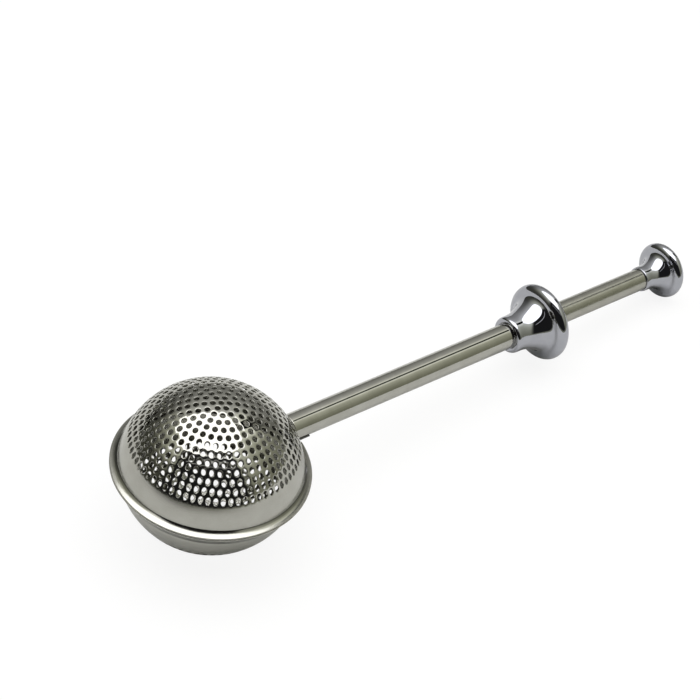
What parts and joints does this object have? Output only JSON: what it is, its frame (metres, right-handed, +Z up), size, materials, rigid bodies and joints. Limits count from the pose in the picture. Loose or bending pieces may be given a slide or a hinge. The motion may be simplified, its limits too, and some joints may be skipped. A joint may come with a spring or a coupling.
{
  "type": "push-action tea infuser",
  "caption": "Perforated metal ball in two halves on a telescopic handle; pushing the thumb knob slides the upper half forward to scoop and fill loose tea.",
  "frame": {"origin": "on the table, under the middle of the infuser's box, with the ball closed and the infuser lying on its lower half and the knob's rim", "axes": "+X along the table from the ball towards the knob, +Z up; the handle slopes down towards +X by 5.4 degrees"},
  "size_m": [0.1882, 0.0504, 0.043],
  "materials": {
    "perforated_steel": "polished stainless steel sheet with a satin band beside the lip",
    "tube_steel": "polished stainless steel tube with fine lengthwise drawing lines",
    "satin_steel": "plain satin stainless steel",
    "polished_chrome": "mirror polish",
    "black_plastic": "matte black",
    "nylon": "plain natural nylon"
  },
  "bodies": {
    "handle": {"lower_bowl": "perforated_steel", "handle_tube": "tube_steel", "tube_saddle": "satin_steel", "rod_guide_bush": "black_plastic", "grip_collar": "polished_chrome"},
    "plunger": {"upper_dome": "perforated_steel", "push_rod": "satin_steel", "plunger_plug": "satin_steel", "friction_ring": "nylon", "plunger_tube": "tube_steel", "thumb_knob": "polished_chrome"}
  },
  "joints": [
    {"name": "plunger_slide", "type": "slide", "parent": "handle", "child": "plunger", "axis": [-0.9955, 0, 0.0942], "range_m": [0, 0.037]}
  ]
}
